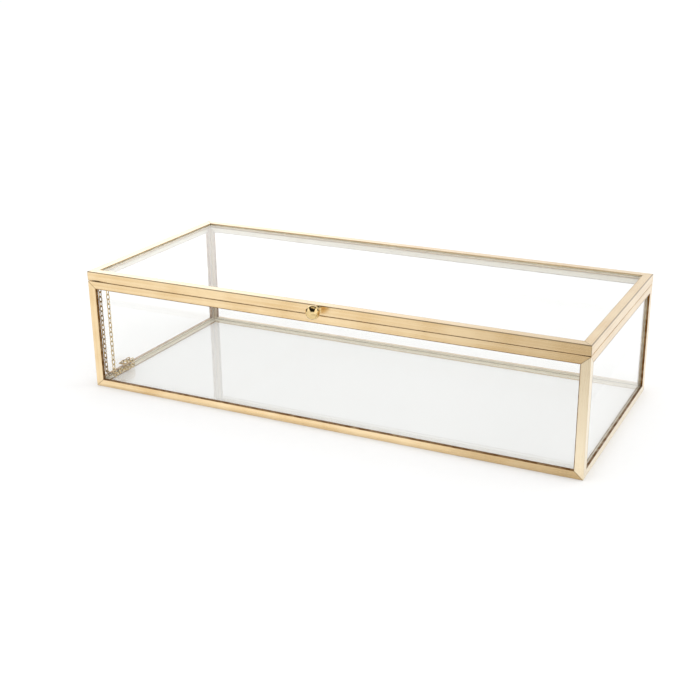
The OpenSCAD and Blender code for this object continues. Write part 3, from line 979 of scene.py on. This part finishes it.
def hung_links(runs, pivot, turn):
    """Links of a half of the chain, run by run.

    Each link starts at the pivot that the last one ended at and leans by its run's angle from
    hanging down. Even links lie in the plane of the box's side, odd ones across it. The last link
    also turns sideways about the end arc of the one before. Returns the last pivot's frame too.
    """
    arc, bend, hook, pitch = link_sizes()
    lean = [math.radians(a) for count, a in runs for _ in range(count)]
    made, at, back = [], np.array(pivot, float), pitch - 2 * arc
    for i, angle in enumerate(lean):
        span = 2 * (arc if i % 2 == 0 else pitch - arc)
        swing = turn_x(angle) @ turn_y(turn if i == len(lean) - 1 else 0)
        hinge = at + turn_x(angle) @ [0, 0, back]
        down = swing @ [0, 0, -1.0]
        across = swing @ ([0, 1.0, 0] if i % 2 == 0 else [1.0, 0, 0])
        made.append(wire_link(hinge + down * (back + span / 2), down, across, i))
        at = at + turn_x(angle) @ [0, 0, -span]
    end = np.cumsum([0] + [count for count, _ in runs])
    return [made[a:b] for a, b in zip(end[:-1], end[1:])], hinge, swing


def eye(name, pivot, tail_x, tail_z, body, finish):
    """An eye: a ring of wire across the box, on a flat tail between two places along X and two along Z."""
    look = bpy.context.scene.casket_chain
    bend, hook = link_sizes()[1:3]
    angle = np.linspace(0, 2 * math.pi, 14, endpoint=False)
    thin = 0.45 * look.wire
    loop = np.stack([bend + thin * np.cos(angle), thin * np.sin(angle)], -1)
    ring = turned_ring(loop, 36).moved(placed([0, 2, 1], 1, pivot + [0, 0, hook + bend]))
    tail = eased_block((tail_x[0], pivot[1] - TAIL_HALF, tail_z[0]),
                       (tail_x[1], pivot[1] + TAIL_HALF, tail_z[1]), 0.05 * MM, 0.08 * MM)
    add_piece(name + "_bent", joined([ring, tail]), body, finish, [name])


class CASKET_OT_chain(Operator):
    """Bend the chain's links and the two eyes that it hangs from"""
    bl_idname = "casket.chain"
    bl_label = "Chain"

    def execute(self, context):
        look, made = context.scene.casket_chain, finishes()
        arc, bend, hook, pitch = link_sizes()
        tails = {"case": (-0.08 * MM, CASE_H - 0.5 * MM, CASE_H - 0.15 * MM),
                 "lid": (0.0, LID_LOW[2], LID_LOW[2] + 0.3 * MM)}
        for part, runs, turn in (("case", CASE_RUNS, -look.sideways), ("lid", LID_RUNS, look.sideways)):
            low, high = corners(part + "_chain_run_1")
            pivot = (low + high) / 2
            pivot[2] = high[2] - look.link_width / 2
            links, hinge, swing = hung_links(runs, pivot, turn)
            for number, group in enumerate(links, 1):
                name = f"{part}_chain_run_{number}"
                surface = joined(group)
                ends = surface.points.min(0), surface.points.max(0)
                off = np.abs(np.subtract(ends, corners(name))).max()
                if off > MOST_OFF:
                    raise RuntimeError(f"{name} lies {off / MM:.2f} mm off the frame")
                add_piece(name + "_bent", surface, name, made[part + "_chain"], [name])
            name, (reach, *tail_z) = part + "_chain_eye", tails[part]
            tail_x = (corners(name)[0][0], pivot[0] - look.wire / 2 + reach)
            eye(name, pivot, tail_x, tail_z, part, made["solder"])
        end = hinge + swing @ [0, 0, -2 * (pitch - arc)]
        swing = swing @ turn_y(math.pi / 2 - look.sideways)
        surface = wire_link(end + swing @ [0, 0, -arc], swing @ [0, 0, -1.0], swing @ [1.0, 0, 0], LAST_LINK)
        add_piece("chain_middle_link_bent", surface, "chain_middle_link",
                  made["case_chain"], ["chain_middle_link"])
        return {"FINISHED"}


# --- Stage --------------------------------------------------------------------------------------
RIGHT, BACK, UP, WHITE = (1, 0, 0), (0, 1, 0), (0, 0, 1), (1, 1, 1)
# Where the lamps point and the camera looks, its film's width and the nearest and farthest it sees
AIM, LOOK_AT = (0, 0, 0.03), (0, CASE_MID_Y, 27.5 * MM)
SENSOR_WIDTH, NEAREST, FARTHEST = 36.0, 0.01, 50
# The floor's width, how far it lies under the box and its own light
FLOOR_WIDTH, FLOOR_DROP, FLOOR_GLOW = 8, 0.05 * MM, 0.11
# Lamps: name, place, side and power
LAMPS = (("soft_box", (1.1, 0.5, 1.6), 1.1, 4.0), ("fill_box", (-1.3, -0.9, 1.5), 1.4, 2.0))
# Cards that the metal and the glass mirror: name, middle, directions across and up, width, height,
# strength, and for some a tint and the distance from the middle at which they have faded to white
CARDS = (
    ("dark_overhead", (0.0, -0.08, 1.25), (1, 0.49, 0), (-0.44, 0.90, 0), 2.1, 2.6, 0.02),
    ("warm_overhead", (0.0, 0.24, 1.20), RIGHT, BACK, 1.05, 0.66, 0.68, (1.0, 0.93, 0.80)),
    ("dark_front", (0.62, -1.27, 1.06), (1, 0.49, 0), UP, 2.0, 0.6, 0.02),
    ("dark_behind", (1.6, 1.5, 0.7), (1, -0.9, 0), UP, 1.2, 1.2, 0.05),
    ("dark_left", (-1.9, 0.3, 0.45), BACK, UP, 1.6, 0.7, 0.05),
    ("bright_card", (1.6, 0.0, 0.8), BACK, UP, 2.4, 1.6, 1.3),
    ("back_card", (-2.0, 1.9, 0.8), (1, 0.3, 0), UP, 3.2, 1.5, 2.0, WHITE, 1.5),
    ("bright_floor", (0.72, 0.3, 0.002), RIGHT, BACK, 1.18, 1.18, 1.9, WHITE, 0.59),
    ("pale_floor", (-0.04, -0.070, 0.001), RIGHT, BACK, 0.20, 0.044, 1.15, WHITE, 0.16),
    ("dim_floor", (0.13, -0.23, 0.002), RIGHT, BACK, 0.34, 0.34, 0.35, (1.0, 0.84, 0.62), 0.17),
)


def flat_sheet(name, middle, across, up, width, height):
    """A flat sheet: from its middle, half the width across and half the height up, both ways."""
    u, v = np.meshgrid([-width / 2, width / 2], [-height / 2, height / 2], indexing="ij")
    across = np.array(across) / np.linalg.norm(across)
    points = np.asarray(middle) + u[..., None] * across + v[..., None] * np.asarray(up)
    mesh = bpy.data.meshes.new(name)
    mesh.from_pydata(points.reshape(-1, 3).tolist(), [], [(0, 2, 3, 1)])
    sheet = linked(name, mesh)
    return sheet


def mirrored_card(name, middle, across, up, width, height, strength, tint=WHITE, fade=0.0):
    """A sheet that only gloss sees, as the metal and glass mirror it; it may fade into the room."""
    sheet = flat_sheet(name, middle, across, up, width, height)
    f = Finish(name)
    glow = f.node("ShaderNodeEmission", Color=tint, Strength=strength)
    if fade:
        spot = f.node("ShaderNodeMapping", {"vector_type": "TEXTURE"}, Vector=f.spot, Location=middle,
                      Scale=(fade, fade, fade))
        ball = f.node("ShaderNodeTexGradient", {"gradient_type": "QUADRATIC_SPHERE"},
                      Vector=spot.outputs["Vector"])
        ease = f.math("POWER", ball.outputs["Fac"], 0.6)
        f.feed(glow.inputs["Color"], f.mix(ease, WHITE, shade(tint, strength)))
        glow.inputs["Strength"].default_value = 1.0
    f.surface(glow.outputs["Emission"])
    sheet.data.materials.append(f.material)
    sheet.visible_camera = sheet.visible_diffuse = sheet.visible_transmission = False
    sheet.visible_shadow = sheet.visible_volume_scatter = False


def add_lamp(name, place, size, power):
    """A square lamp that points at the box."""
    light = bpy.data.lights.new(name, "AREA")
    light.energy, light.size = power, size
    made = linked(name, light)
    made.location = place
    made.rotation_euler = (Vector(AIM) - Vector(place)).to_track_quat("-Z", "Y").to_euler()


def add_camera(scene, look):
    """The camera looks at the middle of the case from its turn and rise, and slides in its own plane."""
    turn, rise, roll = look.camera_turn, look.camera_rise, look.camera_roll
    back = np.array([math.sin(turn) * math.cos(rise), -math.cos(turn) * math.cos(rise), math.sin(rise)])
    level = np.array([math.cos(turn), math.sin(turn), 0.0])
    steep = np.cross(back, level)
    right = level * math.cos(roll) + steep * math.sin(roll)
    up = steep * math.cos(roll) - level * math.sin(roll)
    place = LOOK_AT + right * look.slide_right + up * look.slide_up + back * look.camera_distance
    data = bpy.data.cameras.new("camera")
    data.lens, data.sensor_width = look.lens, SENSOR_WIDTH
    data.clip_start, data.clip_end = NEAREST, FARTHEST
    rows = [[*row, p] for row, p in zip(np.stack([right, up, back], -1), place)]
    scene.camera = linked("camera", data)
    scene.camera.matrix_world = Matrix(rows + [[0, 0, 0, 1]])


class CASKET_OT_stage(Operator):
    """Set the floor, the light and the camera"""
    bl_idname = "casket.stage"
    bl_label = "Stage"

    def execute(self, context):
        scene, look = context.scene, context.scene.casket_studio
        floor = flat_sheet("floor", (0, 0, -FLOOR_DROP), RIGHT, BACK, FLOOR_WIDTH, FLOOR_WIDTH)
        f = Finish("matt_paint")
        tone = f.ramp(f.noise(f.spot, 300, 3),
                      [(0.3, shade(look.floor_tone, 0.99)), (0.7, look.floor_tone)])
        matt = f.shader(Base_Color=tone, Roughness=0.9, Specular_IOR_Level=0.0)
        glow = f.node("ShaderNodeEmission", Strength=f.times(f.seen(), FLOOR_GLOW))
        both = f.node("ShaderNodeAddShader")
        f.feed(both.inputs[0], matt.outputs["BSDF"])
        f.feed(both.inputs[1], glow.outputs["Emission"])
        f.surface(both.outputs["Shader"])
        floor.data.materials.append(f.material)

        scene.world = bpy.data.worlds.new("white_room")
        scene.world.use_nodes = True
        room = Nodes(scene.world.node_tree)
        backdrop = room.tree.nodes["Background"]
        room.feed(backdrop.inputs["Color"], WHITE)
        room.feed(backdrop.inputs["Strength"], room.range(room.seen(), look.sky, 1.0))

        for card in CARDS:
            mirrored_card(*card)
        for lamp in LAMPS:
            add_lamp(*lamp)
        add_camera(scene, look)
        scene.view_settings.view_transform = "Standard"
        scene.cycles.max_bounces = scene.cycles.transmission_bounces = 20
        return {"FINISHED"}


class CASKET_PT_sidebar(Panel):
    """Settings and steps of the casket box"""
    bl_idname = "CASKET_PT_sidebar"
    bl_label = "Glass Casket Box"
    bl_space_type = "VIEW_3D"
    bl_region_type = "UI"
    bl_category = "Casket"

    def draw(self, context):
        for group in GROUPS:
            settings = getattr(context.scene, group)
            box = self.layout.box()
            box.label(text=group.replace("casket_", "").capitalize())
            for key in settings.__annotations__:
                box.prop(settings, key, text=key.replace("_", " ").capitalize())
        for operator in OPERATORS:
            self.layout.operator(operator.bl_idname)


GROUPS = {
    "casket_strips": CasketStrips, "casket_panes": CasketPanes, "casket_chain": CasketChain,
    "casket_finish": CasketFinish, "casket_studio": CasketStudio,
}
OPERATORS = (CASKET_OT_panes, CASKET_OT_case_frame, CASKET_OT_lid_frame, CASKET_OT_hinges,
             CASKET_OT_knob, CASKET_OT_chain, CASKET_OT_stage)


def register():
    for made in (*GROUPS.values(), *OPERATORS, CASKET_PT_sidebar):
        bpy.utils.register_class(made)
    for name, group in GROUPS.items():
        setattr(bpy.types.Scene, name, PointerProperty(type=group))


def unregister():
    for name in GROUPS:
        delattr(bpy.types.Scene, name)
    for made in (CASKET_PT_sidebar, *reversed(OPERATORS), *reversed(list(GROUPS.values()))):
        bpy.utils.unregister_class(made)


def main():
    """Registers the add-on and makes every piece."""
    register()
    for operator in OPERATORS:
        group, name = operator.bl_idname.split(".")
        getattr(getattr(bpy.ops, group), name)()
    bpy.context.view_layer.update()


if __name__ == "__main__":
    main()
